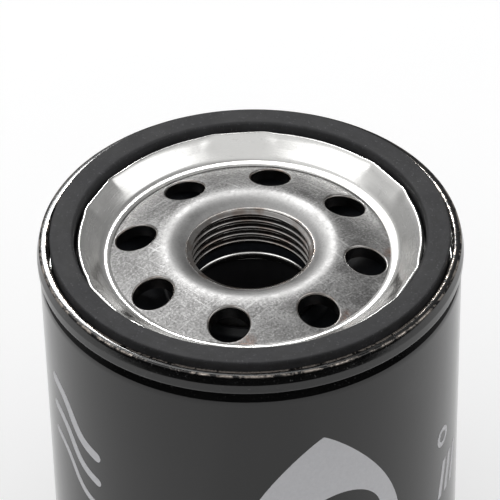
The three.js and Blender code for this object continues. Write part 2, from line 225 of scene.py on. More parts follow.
def rounded(corners, steps=5):
    """A line through corners of (r, z) or (r, z, radius), with an arc in each corner that has a radius."""
    line = []
    for i, corner in enumerate(corners):
        point = np.array(corner[:2], float)
        radius = corner[2] if len(corner) > 2 else 0
        if not radius or i in (0, len(corners) - 1):
            line.append(list(point))
            continue
        before = np.array(corners[i - 1][:2], float) - point
        after = np.array(corners[i + 1][:2], float) - point
        before /= np.linalg.norm(before)
        after /= np.linalg.norm(after)
        half = math.acos(np.clip(before @ after, -1, 1)) / 2
        middle = point + (before + after) / np.linalg.norm(before + after) * radius / math.sin(half)
        first = point + before * radius / math.tan(half) - middle
        last = point + after * radius / math.tan(half) - middle
        sweep = math.pi - 2 * half
        side = (last - first @ last / radius**2 * first)
        side *= radius / np.linalg.norm(side)
        for t in np.linspace(0, sweep, steps + 1):
            line.append(list(middle + first * math.cos(t) + side * math.sin(t)))
    return line


def beside(line, distance):
    """The line at a distance to the left of a bent line."""
    points = np.array(line, float)
    along = np.diff(points, axis=0)
    along /= np.linalg.norm(along, axis=1)[:, None]
    normals = np.stack([-along[:, 1], along[:, 0]], 1)
    before = np.vstack([normals[:1], normals])
    after = np.vstack([normals, normals[-1:]])
    mitre = before + after
    mitre /= np.linalg.norm(mitre, axis=1)[:, None]
    return points + mitre * (distance / np.sum(mitre * after, axis=1))[:, None]


def sheet(line, thickness, end_steps=4):
    """The closed outline of sheet metal whose middle follows a line, with rounded edges."""
    left = beside(line, thickness / 2)
    right = beside(line, -thickness / 2)[::-1]

    def edge(start, end):
        middle = (start + end) / 2
        out = start - middle
        turn = np.array([out[1], -out[0]])
        angles = np.linspace(0, math.pi, end_steps + 1)[1:-1]
        return [list(middle + out * math.cos(t) + turn * math.sin(t)) for t in angles]

    return [*left.tolist(), *edge(left[-1], right[0]), *right.tolist(), *edge(right[-1], left[0])]


def subdivided(line, longest):
    """The same line with no straight stretch longer than the given length."""
    dense = [list(line[0])]
    for start, end in zip(line, line[1:]):
        start, end = np.array(start, float), np.array(end, float)
        pieces = max(1, math.ceil(np.linalg.norm(end - start) / longest))
        dense += [list(start + (end - start) * (i + 1) / pieces) for i in range(pieces)]
    return dense


def stepped(corners, steps):
    """Points round a closed outline, with a number of equal steps from each corner to the next."""
    sides = zip(corners, corners[1:] + corners[:1], steps)
    return [tuple(point) for start, end, count in sides
            for point in np.linspace(start, end, count + 1)[:-1]]


def smooth_through(points, x):
    """Heights of a smooth curve through points of (x, height)."""
    known = np.array(points, float)
    slopes = np.gradient(known[:, 1], known[:, 0])
    x = np.clip(x, known[0, 0], known[-1, 0])
    i = np.clip(np.searchsorted(known[:, 0], x) - 1, 0, len(known) - 2)
    width = known[i + 1, 0] - known[i, 0]
    t = (x - known[i, 0]) / width
    low, high = known[i, 1], known[i + 1, 1]
    return (
        low * (1 + 2 * t) * (1 - t) ** 2 + high * t * t * (3 - 2 * t)
        + width * (slopes[i] * t * (1 - t) ** 2 - slopes[i + 1] * t * t * (1 - t))
    )


def smoothstep(low, high, x):
    t = np.clip((x - low) / (high - low), 0, 1)
    return t * t * (3 - 2 * t)


# ---- Meshes ----

SHARP = math.radians(38)
SIDES = 360               # steps round the can, and round the smaller pieces
INNER_SIDES = 240
VALVE_SIDES = 120
AXIS_R = 0.02             # where an outline stops short of the axis


def bands(rings, count, closed=False):
    """Faces between neighbouring rings of count vertices, and from the last to the first if closed."""
    return [
        (i * count + k, i * count + (k + 1) % count,
         (i + 1) % rings * count + (k + 1) % count, (i + 1) % rings * count + k)
        for i in range(rings if closed else rings - 1) for k in range(count)
    ]


def skin(rings, closed=False):
    """Vertices and faces of a surface through rings of equally many points."""
    vertices = [tuple(point) for ring in rings for point in ring]
    return vertices, bands(len(rings), len(rings[0]), closed)


def make(name, part, materials, body, node, face_material=None):
    """A smooth-shaded piece from a part's vertices, in millimetres, and faces. It rides on a body."""
    vertices, faces = part
    mesh = bpy.data.meshes.new(name)
    mesh.from_pydata((np.asarray(vertices, float) * MM).tolist(), [], faces)
    bm = bmesh.new()
    bm.from_mesh(mesh)
    bmesh.ops.remove_doubles(bm, verts=bm.verts, dist=1e-7)
    bmesh.ops.recalc_face_normals(bm, faces=bm.faces)
    bm.to_mesh(mesh)
    bm.free()
    for material in materials if isinstance(materials, list) else [materials]:
        mesh.materials.append(material)
    if face_material:
        for polygon in mesh.polygons:
            polygon.material_index = face_material(polygon.center / MM)
    mesh.shade_smooth()
    mesh.set_sharp_from_angle(angle=SHARP)
    piece = placed(name, mesh)
    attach(piece, body)
    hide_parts(node)
    return piece


def lathe(outline, sides=SIDES, shape=None, closed=True):
    """Vertices and faces of an outline turned about Z. shape(r, z, angle) may move the points."""
    points = np.array(outline, float)
    angle = np.arange(sides) * 2 * math.pi / sides
    r = np.repeat(points[:, :1], sides, 1)
    z = np.repeat(points[:, 1:], sides, 1)
    around = np.repeat(angle[None], len(points), 0)
    if shape:
        r, z = shape(r, z, around)
    return skin(np.stack([r * np.cos(around), r * np.sin(around), z], 2), closed)


def swept(path, section):
    """A tube along a path that climbs round Z, its section upright, with closed ends."""
    path, section = np.array(path, float), np.array(section, float)
    out = path * [1, 1, 0]
    out /= np.linalg.norm(out, axis=1)[:, None]
    up = np.array([0, 0, 1.0])
    rings = path[:, None] + section[None, :, :1] * out[:, None] + section[None, :, 1:] * up
    vertices, faces = skin(rings)
    count = len(section)
    last = len(vertices) - count
    faces += [tuple(range(count)), tuple(last + k for k in reversed(range(count)))]
    return vertices, faces


def prism(outline, low, high):
    """A plan outline in millimetres raised from low to high."""
    count = len(outline)
    vertices, faces = skin([[(x, y, z) for x, y in outline] for z in (low, high)])
    return vertices, [*faces, tuple(reversed(range(count))), tuple(range(count, 2 * count))]


def joined(*parts):
    vertices, faces = [], []
    for some_vertices, some_faces in parts:
        start = len(vertices)
        vertices += [tuple(v) for v in some_vertices]
        faces += [tuple(start + k for k in face) for face in some_faces]
    return vertices, faces


def turned_about_z(part, degrees):
    c, s = math.cos(math.radians(degrees)), math.sin(math.radians(degrees))
    vertices, faces = part
    return [(x * c - y * s, x * s + y * c, z) for x, y, z in vertices], faces


# ---- Materials: noise scales are in cycles per metre ----

WORN_DEPTH = 1.75         # the seam's paint is rubbed off above this
WORN_FULL_DEPTH = 1.5     # and fully here
WORN_R = 0.25             # distance from the middle of the seam's top, likewise
WORN_FULL_R = 0.4
SMUDGE_ANGLE = -44
SMUDGE_DEPTH = 15
SMUDGE_SIZE = 6
ROLLED_R = 14.6           # the plate's surface goes over from drawn to rolled from here
ROLLED_FULL_R = 16.4      # to here
STAINS = ((0, 25.0), (-90, 24.2), (-45, 24.6))   # degrees from the first inlet, and radius
STAIN_SHIFT = 8           # degrees, to beside the inlet
STAIN_DEPTH = 4.9
STAIN_SIZE = 2.6


class Nodes:
    """A node tree with a shader: helpers that add nodes and return the socket they give."""

    def __init__(self, tree, shader, coordinates):
        self.tree = tree
        self.shader = tree.nodes[shader]
        self.position = self.node("ShaderNodeTexCoord").outputs[coordinates]

    def node(self, kind, **settings):
        node = self.tree.nodes.new(kind)
        for key, value in settings.items():
            setattr(node, key, value)
        return node

    def link(self, source, target):
        if isinstance(target, str):
            target = self.shader.inputs[target]
        self.tree.links.new(source, target)

    def math(self, operation, *values):
        node = self.node("ShaderNodeMath", operation=operation)
        for socket, value in zip(node.inputs, values):
            if isinstance(value, (int, float)):
                socket.default_value = value
            else:
                self.link(value, socket)
        return node.outputs[0]

    def times(self, first, second):
        return self.math("MULTIPLY", first, second)

    def axes(self):
        node = self.node("ShaderNodeSeparateXYZ")
        self.link(self.position, node.inputs[0])
        return node.outputs

    def between(self, value, low, high, to_low, to_high):
        """Maps a value's range to another, held at both ends."""
        node = self.node("ShaderNodeMapRange")
        self.link(value, node.inputs["Value"])
        for socket, number in zip(node.inputs[1:5], (low, high, to_low, to_high)):
            socket.default_value = number
        return node.outputs[0]

    def mixed(self, share, first, second):
        """Two colours mixed by a share, each a tuple or a socket."""
        node = self.node("ShaderNodeMix", data_type="RGBA")
        self.link(share, node.inputs["Factor"])
        for socket, value in ((node.inputs[6], first), (node.inputs[7], second)):
            if isinstance(value, tuple):
                socket.default_value = (*value, 1)
            else:
                self.link(value, socket)
        return node.outputs[2]


class Look(Nodes):
    """A node material."""

    def __init__(self, name, color, metallic, roughness, specular=0.5):
        self.material = bpy.data.materials.new(name)
        self.material.use_nodes = True
        super().__init__(self.material.node_tree, "Principled BSDF", "Object")
        self.set("Base Color", (*color, 1))
        self.set("Metallic", metallic)
        self.set("Roughness", roughness)
        self.set("Specular IOR Level", specular)

    def set(self, socket, value):
        self.shader.inputs[socket].default_value = value

    def radius(self):
        x, y, _ = self.axes()
        return self.math("SQRT", self.math("ADD", self.times(x, x), self.times(y, y)))

    def around(self, along, across, height):
        """Coordinates that run round the axis, with a scale of their own each way."""
        x, y, z = self.axes()
        angle = self.math("ARCTAN2", y, x)
        node = self.node("ShaderNodeCombineXYZ")
        self.link(self.times(angle, along), node.inputs[0])
        self.link(self.times(self.radius(), across), node.inputs[1])
        self.link(self.times(z, height), node.inputs[2])
        return node.outputs[0]

    def noise(self, scale, detail=4, roughness=0.6, distortion=0, at=None):
        node = self.node("ShaderNodeTexNoise")
        node.inputs["Scale"].default_value = scale
        node.inputs["Detail"].default_value = detail
        node.inputs["Roughness"].default_value = roughness
        node.inputs["Distortion"].default_value = distortion
        self.link(at or self.position, node.inputs["Vector"])
        return node.outputs["Fac"]

    def scratches(self, degrees, along, across):
        """A mask of fine straight scratches at an angle to X, with a scale along and across them."""
        turned = self.node("ShaderNodeMapping", vector_type="TEXTURE")
        self.link(self.position, turned.inputs["Vector"])
        turned.inputs["Rotation"].default_value = (0, 0, math.radians(degrees))
        turned.inputs["Scale"].default_value = (1 / along, 1 / across, 1 / along)
        return self.between(self.noise(1, 2, 0.5, at=turned.outputs[0]), 0.62, 0.7, 0, 0.8)

    def bump(self, *layers):
        """Chained bumps of (height socket, depth in millimetres)."""
        normal = None
        for height, depth in layers:
            node = self.node("ShaderNodeBump")
            node.inputs["Strength"].default_value = 1
            node.inputs["Distance"].default_value = depth * MM
            self.link(height, node.inputs["Height"])
            if normal:
                self.link(normal, node.inputs["Normal"])
            normal = node.outputs["Normal"]
        self.link(normal, "Normal")

    def spot(self, x, y, z, size):
        """1 at a place given in millimetres, falling to 0 at the given distance."""
        node = self.node("ShaderNodeVectorMath", operation="DISTANCE")
        self.link(self.position, node.inputs[0])
        node.inputs[1].default_value = (x * MM, y * MM, z * MM)
        return self.between(node.outputs["Value"], 0, size * MM, 1, 0)


def worn_crown(look):
    """Where handling has rubbed the paint off both shoulders of the seam's flat top."""
    top = look.between(look.axes()[2], below(WORN_DEPTH) * MM, below(WORN_FULL_DEPTH) * MM, 0, 1)
    from_middle = look.math("ABSOLUTE", look.math("SUBTRACT", look.radius(), layer(2) * MM))
    edge = look.between(from_middle, WORN_R * MM, WORN_FULL_R * MM, 0, 1)
    patchy = look.between(look.noise(420, 5, 0.75), 0.45, 0.57, 0, 0.85)
    return look.times(look.times(top, edge), patchy)


def finger_mark(look):
    """A smudge on the wall beside the printed drop."""
    near = look.spot(*polar(BODY_R, SMUDGE_ANGLE), below(SMUDGE_DEPTH), SMUDGE_SIZE)
    return look.times(near, look.between(look.noise(1100, 4, 0.7), 0.4, 0.65, 0, 0.2))


def black_enamel():
    look = Look("black_enamel", (0.004, 0.004, 0.0043), 0, 0.22)
    cloud = look.noise(60, 3)
    peel = look.noise(1400, 2, 0.5)
    dust = look.between(look.noise(2600, 2, 0.7), 0.70, 0.78, 0, 1)
    patches = look.between(look.noise(35, 2), 0.48, 0.7, 0, 1)
    shoulder = look.between(look.axes()[2], below(SHOULDER_DEPTH) * MM, below(NECK_DEPTH) * MM, 0, 1)
    settled = look.between(look.noise(2900, 2, 0.6), 0.66, 0.72, 0, 0.9)
    marks = look.math("MAXIMUM", finger_mark(look), look.times(shoulder, settled))
    marks = look.math("MAXIMUM", marks, look.times(dust, patches))
    tone = look.mixed(cloud, (0.0012, 0.0012, 0.0013), (0.0028, 0.0028, 0.003))
    tone = look.mixed(marks, tone, (0.10, 0.10, 0.10))
    worn = worn_crown(look)
    look.link(look.mixed(worn, tone, (0.64, 0.57, 0.51)), "Base Color")
    look.link(worn, "Metallic")
    look.link(look.between(look.noise(300, 4), 0.3, 0.7, 0.08, 0.14), "Roughness")
    look.bump((peel, 0.004), (look.noise(420, 2), 0.006))
    return look.material


def tin_plate():
    look = Look("tin_plate", (0.87, 0.86, 0.84), 1, 0.24)
    drawn = look.noise(1, 3, 0.65, at=look.around(6, 5200, 5200))
    cloud = look.noise(120, 4)
    fleck = look.between(look.noise(900, 3, 0.7), 0.6, 0.8, 0, 1)
    tone = look.mixed(cloud, (0.80, 0.79, 0.77), (0.90, 0.90, 0.885))
    look.link(look.mixed(look.times(fleck, 0.5), tone, (0.55, 0.54, 0.52)), "Base Color")
    look.link(look.between(look.math("ADD", drawn, cloud), 0.7, 1.3, 0.16, 0.3), "Roughness")
    look.bump((drawn, 0.003), (look.noise(260, 3), 0.015))
    return look.material


def mill_steel():
    """Pressed plate: flecked and scratched where it was rolled, smoother on the drawn hub."""
    look = Look("mill_steel", (0.4, 0.4, 0.4), 1, 0.42)
    grain = look.noise(2600, 3, 0.8)
    blotch = look.noise(170, 5, 0.65, 0.6)
    streak = look.noise(1, 4, 0.7, at=look.around(30, 900, 900))
    rolled = look.between(look.radius(), ROLLED_R * MM, ROLLED_FULL_R * MM, 0.25, 1)
    scratch = look.math("MAXIMUM", look.scratches(38, 120, 3600), look.scratches(-47, 120, 3600))
    tone = look.mixed(look.between(blotch, 0.3, 0.7, 0, 1), (0.22, 0.217, 0.214), (0.38, 0.377, 0.373))
    tone = look.mixed(rolled, (0.465, 0.462, 0.457), tone)
    light = look.math("MAXIMUM", look.between(grain, 0.54, 0.66, 0, 0.9), scratch)
    tone = look.mixed(look.times(rolled, light), tone, (0.62, 0.617, 0.613))
    dark = look.between(grain, 0.34, 0.45, 0.85, 0)
    tone = look.mixed(look.times(rolled, dark), tone, (0.09, 0.088, 0.086))
    near = 0
    for degrees, radius in STAINS:
        place = polar(radius, INLET_START + degrees + STAIN_SHIFT)
        near = look.math("MAXIMUM", near, look.spot(*place, below(STAIN_DEPTH), STAIN_SIZE))
    rust = look.times(near, look.between(look.noise(900, 4, 0.7), 0.42, 0.62, 0, 0.8))
    look.link(look.mixed(rust, tone, (0.34, 0.17, 0.11)), "Base Color")
    look.link(look.between(look.math("ADD", streak, blotch), 0.7, 1.3, 0.32, 0.54), "Roughness")
    look.bump((blotch, 0.02), (look.times(rolled, grain), 0.024))
    return look.material


def cut_steel():
    """The bore, cut to a thread and left oily: brighter and smoother than the plate, with a brown stain."""
    look = Look("cut_steel", (0.5, 0.47, 0.43), 1, 0.24)
    stain = look.noise(260, 4, 0.65)
    chatter = look.noise(1, 3, 0.6, at=look.around(60, 600, 2600))
    tone = look.mixed(look.between(stain, 0.45, 0.65, 0, 0.8), (0.36, 0.35, 0.34), (0.22, 0.17, 0.14))
    look.link(tone, "Base Color")
    look.link(look.between(chatter, 0.3, 0.7, 0.16, 0.26), "Roughness")
    look.bump((chatter, 0.002), (look.noise(1500, 3), 0.002))
    return look.material


def rubber(name, dark, light, roughness, grain_depth):
    look = Look(name, dark, 0, roughness, 0.4)
    cloud = look.noise(130, 4, 0.6)
    speck = look.between(look.noise(2300, 2, 0.7), 0.63, 0.73, 0, 0.6)
    sweep = look.noise(1, 3, 0.6, at=look.around(14, 700, 700))
    tone = look.mixed(look.between(look.math("ADD", cloud, sweep), 0.75, 1.25, 0, 1), dark, light)
    look.link(look.mixed(speck, tone, tuple(4 * part for part in light)), "Base Color")
    look.link(look.between(cloud, 0.3, 0.7, roughness - 0.07, roughness + 0.07), "Roughness")
    look.bump((look.noise(1700, 3, 0.7), grain_depth), (cloud, 0.02))
    return look.material


def mottled(look, cloud, tones, roughnesses, *bumps):
    """Finishes a look whose colour and roughness follow one noise. A bump is a depth and the values of a
    noise of its own, or a depth alone."""
    varied = look.noise(*cloud)
    look.link(look.mixed(varied, *tones), "Base Color")
    look.link(look.between(varied, 0.3, 0.7, *roughnesses), "Roughness")
    look.bump(*[(look.noise(*noise) if noise else varied, depth) for depth, *noise in bumps])
    return look.material


def cured(name, dark, light):
    return mottled(Look(name, dark, 0, 0.55), (220, 4), (dark, light), (0.42, 0.68),
                   (0.08,), (0.01, 1300, 2))


ENAMEL = black_enamel()
TIN = tin_plate()
STEEL = mill_steel()
CUT_STEEL = cut_steel()
GASKET_RUBBER = rubber("gasket_rubber", (0.024, 0.024, 0.025), (0.038, 0.038, 0.041), 0.6, 0.012)
VALVE_RUBBER = rubber("valve_rubber", (0.008, 0.009, 0.012), (0.015, 0.017, 0.021), 0.45, 0.006)
PAPER_LOOK = mottled(
    Look("pleated_paper", (0.62, 0.5, 0.3), 0, 0.85, 0.3), (700, 5, 0.75, 1.2),
    ((0.50, 0.37, 0.19), (0.74, 0.62, 0.40)), (0.78, 0.92), (0.05,))
PLASTISOL = cured("plastisol", (0.22, 0.05, 0.035), (0.36, 0.10, 0.07))
COMPOUND = cured("seaming_compound", (0.06, 0.06, 0.06), (0.12, 0.12, 0.12))
WIRE = mottled(
    Look("spring_wire", (0.3, 0.3, 0.31), 1, 0.38), (500, 4, 0.7),
    ((0.20, 0.20, 0.21), (0.42, 0.42, 0.42)), (0.28, 0.5), (0.006, 1500, 3))
# Painted shade: the centre tube is coloured near black so that the inside of the bore, seen past the
# thread, stays as dark as deep shade.
TUBE_PAINTED_SHADE = mottled(
    Look("black_nylon", (0.018, 0.018, 0.02), 0, 0.55), (240, 4, 0.6),
    ((0.012, 0.012, 0.013), (0.024, 0.024, 0.026)), (0.48, 0.66), (0.006, 2000, 2))
INK = mottled(
    Look("silver_ink", (0.6, 0.6, 0.61), 0, 0.5), (1500, 3, 0.7),
    ((0.52, 0.52, 0.54), (0.66, 0.66, 0.68)), (0.42, 0.6), (0.004,))


# ---- Can ----

def flute(inset):
    """Presses the wrench flutes into points that lie inset from the outside of the wall."""
    def shape(r, z, angle):
        from_middle = aside(angle, FLUTE_START, FLUTES)
        flat = (BODY_R - inset - FLUTE_DEPTH * (1 - z / FLUTE_TOP)) / np.cos(from_middle)
        soft = (1 + np.clip((r - flat) / FLUTE_SOFT, -1, 1)) / 2
        pressed = r * (1 - soft) + flat * soft - FLUTE_SOFT * soft * (1 - soft)
        on_wall = (z < FLUTE_TOP + FLUTE_FADE) & (r > DIMPLE_R)
        return np.where(on_wall, np.minimum(pressed, r), r), z
    return shape


def can():
    wall_r = BODY_R - SHEET / 2
    floor = SHEET / 2
    line = rounded([
        (0, floor + DIMPLE_DEPTH),
        (DIMPLE_R, floor + DIMPLE_DEPTH, 1.2),
        (DIMPLE_R + 2, floor, 1.2),
        (wall_r, floor, wall_r - DOME_FLAT_R),
        (wall_r, below(STRAIGHT_DEPTH), 4.5),
        (wall_r - 0.12, below(SHOULDER_DEPTH), 0.25),
        (layer(3), below(NECK_DEPTH), 0.3),
        (layer(3), below(HOOK_BEND_DEPTH)),
    ], 12)
    line += arc(layer(2), below(HOOK_BEND_DEPTH), TIGHT_BEND, 180, 0, 12)[1:]
    line.append([layer(1), below(HOOK_END_DEPTH)])
    line = subdivided(line, 0.7)
    outside = beside(line, -SHEET / 2)
    inside = beside(line, SHEET / 2)[::-1]
    outside[0, 0] = inside[-1, 0] = AXIS_R
    vertices, faces = joined(lathe(outside, shape=flute(0), closed=False),
                             lathe(inside, shape=flute(SHEET), closed=False))
    brim = (len(outside) - 1) * SIDES
    faces += [tuple(brim + k for k in face) for face in bands(2, SIDES)]
    middle = len(vertices) - SIDES
    faces += [tuple(reversed(range(SIDES))), tuple(middle + k for k in range(SIDES))]
    make("can_shell", (vertices, faces), ENAMEL, "housing", "can")


# ---- Lid ----

def clinch(r, z, angle):
    """Presses flats into the ridge: straight between corners that stand out of the round stretches."""
    half = math.radians(CLINCH_HALF)
    from_middle = np.abs(aside(angle, CLINCH_START, CLINCHES))
    flat = (r + CLINCH_PROUD) * math.cos(half) / np.cos(np.minimum(from_middle, half))
    flat = flat - CLINCH_PROUD * smoothstep(half, half + math.radians(CLINCH_FADE), from_middle)
    on_ridge = smoothstep(CLINCH_R, CLINCH_FULL_R, r) * (r < GASKET_INNER_R)
    high = smoothstep(below(CLINCH_DEPTH), below(CLINCH_FULL_DEPTH), z)
    outside = r > RIDGE_R - 0.9
    weight = on_ridge * np.where(outside, np.maximum(high, CLINCH_FOOT), 1)
    return r + (flat - r) * weight, z


def lid():
    floor_depth = GASKET_HEIGHT + FIT / 2 + SHEET / 2
    ridge_r = RIDGE_R - CLINCH_PROUD
    line = [[layer(2), below(COVER_HOOK_DEPTH)]]
    line += arc(layer(1), below(CURL_DEPTH), TIGHT_BEND, 180, 360, 12)
    line += rounded([
        (layer(0), below(CURL_DEPTH - 0.1)),
        (layer(0), below(TAPER_DEPTH), 0.8),
        (layer(0) - TAPER, below(CROWN_DEPTH), 0.25),
        (layer(4), below(CROWN_DEPTH), 0.3),
        (layer(4), below(floor_depth), 0.35),
        (ridge_r, below(floor_depth), 0.35),
        (ridge_r, below(2)),
    ], 6)
    line += arc(ridge_r - 0.3, below(RIDGE_DEPTH + SHEET / 2 + 0.3), 0.3, 0, 128, 10)
    line += rounded([
        (29.1, below(1.95)),
        (27.6, below(3.35), 6),
        (25.95, below(LIP_DEPTH + SHEET / 2), 1.8),
        (25.1, below(LIP_DEPTH + SHEET / 2), 0.8),
        (LIP_R + SHEET / 2, below(LIP_DEPTH + SHEET / 2 + 0.08)),
    ], 8)
    outline = sheet(subdivided(line, 0.5), SHEET)

    def finish_at(centre):
        radius = math.hypot(centre.x, centre.y)
        return 0 if radius > layer(4) - 0.05 else 1

    make("seaming_lid_sheet", lathe(outline, 2 * SIDES, clinch), [ENAMEL, TIN], "housing",
         "seaming_lid", finish_at)


def seam_compound():
    outline = rounded([
        (36.1, below(2.28)), (36.42, below(2.28), 0.1), (36.42, below(2.03), 0.1),
        (35.78, below(2.03), 0.1), (35.78, below(2.28), 0.1), (36.09, below(2.28)),
    ], 3)
    make("seam_compound_ring", lathe(outline, SIDES // 2), COMPOUND, "housing", "seam_compound")


# ---- Base plate ----

PLATE_TOP = [(11.3, 4.02), (12.4, 3.45), (13.6, 3.08), (14.8, 2.95), (16.4, 3.1),
             (18.2, 3.5), (21, 4.25), (24, 5.08), (25.2, 5.36)]
PLATE_BOTTOM = [(15, 5.55), (16.5, 5.72), (18.5, 6.1), (21, 6.75), (24, 7.5), (25.2, 7.75)]
HUB_OUTER = 15.4          # where the hub's turned surface meets the pierced ring
RING_OUTER = 24.8         # where the pierced ring meets the turned rim
ARC_STEPS = 40            # round each of the ring's eight sectors
SIDE_STEPS = 16           # along each side of a sector
ROLLOVER = 0.42           # radius of the hole's rounded upper edge
BORE_DEPTH = 4.1
RIM_DEPTH = 6.1


def plate_top(r):
    return below(smooth_through(PLATE_TOP, r))


def plate_bottom(r):
    return below(smooth_through(PLATE_BOTTOM, r))


def sector_border():
    """Points round one sector of the pierced ring, as (radius, degrees from the hole)."""
    half = 180 / INLETS
    corners = [(HUB_OUTER, half), (HUB_OUTER, -half), (RING_OUTER, -half), (RING_OUTER, half)]
    return stepped(corners, [ARC_STEPS, SIDE_STEPS] * 2)


def hole_sector(degrees, surface, rolled):
    """One sector of the plate's face round a hole, and the ring of its hole's edge."""
    centre = np.array([INLET_CIRCLE_R, 0.0])
    border = np.array([polar(*point) for point in sector_border()])
    out = border - centre
    reach = np.linalg.norm(out, axis=1)
    out /= reach[:, None]
    near = [0, 0.1, 0.25, 0.45, 0.7, 1] if rolled else [0, 0.5, 1]
    flat = [(centre + out * (INLET_R + ROLLOVER * share), share) for share in near]
    edge = INLET_R + ROLLOVER
    for share in np.linspace(0, 1, 8)[1:]:
        flat.append((centre + out * (edge + (reach - edge) * share)[:, None], 1))
    rings = []
    for points, share in flat:
        height = surface(np.linalg.norm(points, axis=1))
        if rolled:
            height = height - ROLLOVER * (1 - math.sqrt(1 - (1 - share) ** 2))
        rings.append(np.column_stack((points, height)))
    return turned_about_z(skin(rings), degrees), rings[0]


def hole_wall(degrees, top_ring, bottom_ring):
    rings = [top_ring + (bottom_ring - top_ring) * share for share in np.linspace(0, 1, 7)]
    return turned_about_z(skin(rings), degrees)


def threaded(r, z, angle):
    """Cuts the helical groove into the bore's wall."""
    in_bore = (r < THREAD_MINOR_R + 0.01) & (z > below(HUB_END - 0.05))
    turn = ((z - below(HUB_END)) / THREAD_PITCH - angle / (2 * math.pi)) % 1
    from_root = np.abs(turn - 0.5) * 2
    groove = 1 - smoothstep(0.10, 0.80, from_root)
    deep = smoothstep(below(HUB_END - 0.1), below(HUB_END - 0.5), z)
    cut = THREAD_MINOR_R + (THREAD_MAJOR_R - THREAD_MINOR_R) * groove * deep
    chamfer = THREAD_MINOR_R + np.clip(z - below(4.5), 0, 2) * 2.2
    return np.where(in_bore, np.maximum(cut, chamfer), r), z


def base_plate():
    parts = []
    for i in range(INLETS):
        degrees = INLET_START + i * 360 / INLETS
        top, top_ring = hole_sector(degrees, plate_top, True)
        bottom, bottom_ring = hole_sector(degrees, plate_bottom, False)
        parts += [top, bottom, hole_wall(degrees, top_ring, bottom_ring)]
    dish = [[r, plate_top(r)] for r in np.linspace(HUB_OUTER, 11.15, 26)]
    bore = [[THREAD_MINOR_R, z] for z in np.linspace(below(BORE_DEPTH), below(HUB_END), 110)]
    end = [[THREAD_MINOR_R + 0.25, below(HUB_END)], [HUB_R - 0.3, below(HUB_END)],
           [HUB_R, below(HUB_END - 0.3)]]
    outside = rounded([(HUB_R, below(10.5)), (HUB_R, below(5.9), 1.6),
                       (HUB_OUTER, float(plate_bottom(HUB_OUTER)))], 8)
    hub = lathe([*dish, *bore, *end, *outside], ARC_STEPS * INLETS, threaded, closed=False)
    rim = lathe(rounded([
        (RING_OUTER, float(plate_top(RING_OUTER))),
        (26.6, below(5.5), 2),
        (29, below(RIM_DEPTH), 2),
        (PLATE_R, below(RIM_DEPTH), 0.4),
        (PLATE_R, below(RIM_DEPTH + PLATE_THICKNESS), 0.4),
        (28.4, below(RIM_DEPTH + PLATE_THICKNESS), 2),
        (26, below(5.5 + PLATE_THICKNESS), 2),
        (RING_OUTER, float(plate_bottom(RING_OUTER))),
    ], 6), ARC_STEPS * INLETS, closed=False)
    parts += [turned_about_z(part, INLET_START + 180 / INLETS) for part in (hub, rim)]

    def finish_at(centre):
        radius = math.hypot(centre.x, centre.y)
        angle = aside(math.atan2(centre.y, centre.x), INLET_START, INLETS)
        from_hole = math.hypot(radius * math.cos(angle) - INLET_CIRCLE_R, radius * math.sin(angle))
        return 1 if radius < THREAD_MAJOR_R + 0.3 or from_hole < INLET_R + ROLLOVER * 0.7 else 0

    make("base_plate_disc", joined(*parts), [STEEL, CUT_STEEL], "housing", "base_plate",
         finish_at)


# ---- Rubber ----

def gasket():
    r0, r1 = GASKET_INNER_R, GASKET_R
    z0, z1 = below(GASKET_HEIGHT), HEIGHT
    outline = rounded([
        (32.6, z0), (r1, z0, 0.5), (r1, z1, 0.25), (r0, z1, 0.6), (r0, z0, 0.5), (32.5, z0),
    ], 7)
    make("gasket_ring", lathe(subdivided(outline, 0.5)), GASKET_RUBBER, "housing",
         "sealing_gasket")


def drainback_valve():
    outline = rounded([
        (12, below(COLLAR_END)), (15.2, below(COLLAR_END), 0.5), (15.8, below(12.6), 0.6),
        (24.6, below(9.4), 2), (27.4, below(9.1), 0.2), (27.4, below(8.6), 0.2),
        (26.4, below(8.1), 0.5), (25.2, below(8.4), 1), (15, below(11.9), 0.8),
        (13.9, below(10.6), 0.2), (13.4, below(10.6), 0.2), (13.4, below(HUB_END + FIT), 0.1),
        (NECK_R, below(HUB_END + FIT), 0.15), (NECK_R, below(COLLAR_END), 0.25),
        (11.9, below(COLLAR_END)),
    ], 5)
    make("drainback_valve", lathe(subdivided(outline, 0.8), INNER_SIDES), VALVE_RUBBER, "housing",
         "anti_drainback_valve")


# ---- Filter element ----

CAP_TOP = ELEMENT_BOTTOM + CAP_SHEET
MEDIA_LOW = CAP_TOP + ADHESIVE + 2 * FIT
MEDIA_HIGH = below(ELEMENT_TOP + CAP_SHEET + ADHESIVE + 2 * FIT)
POTTING_R = ELEMENT_R - CAP_SHEET - 2 * FIT


def end_cap(name, node, corners):
    outline = sheet(subdivided(rounded(corners, 8), 1.5), CAP_SHEET)
    make(name, lathe(outline, INNER_SIDES), TIN, "element", node)


def end_caps():
    rim = ELEMENT_R - CAP_SHEET / 2
    high = ELEMENT_TOP + CAP_SHEET / 2
    neck = NECK_R + CAP_SHEET / 2
    end_cap("upper_cap", "upper_end_cap", [
        (neck, below(ELEMENT_TOP + 1.4)), (neck, below(high), 0.45), (rim, below(high), 1.0),
        (rim, below(ELEMENT_TOP + 3.2)),
    ])
    low = ELEMENT_BOTTOM + CAP_SHEET / 2
    end_cap("lower_cap", "lower_end_cap", [
        (SEAT_R + 1.2, low), (rim, low, 1.0), (rim, ELEMENT_BOTTOM + 3.2),
    ])


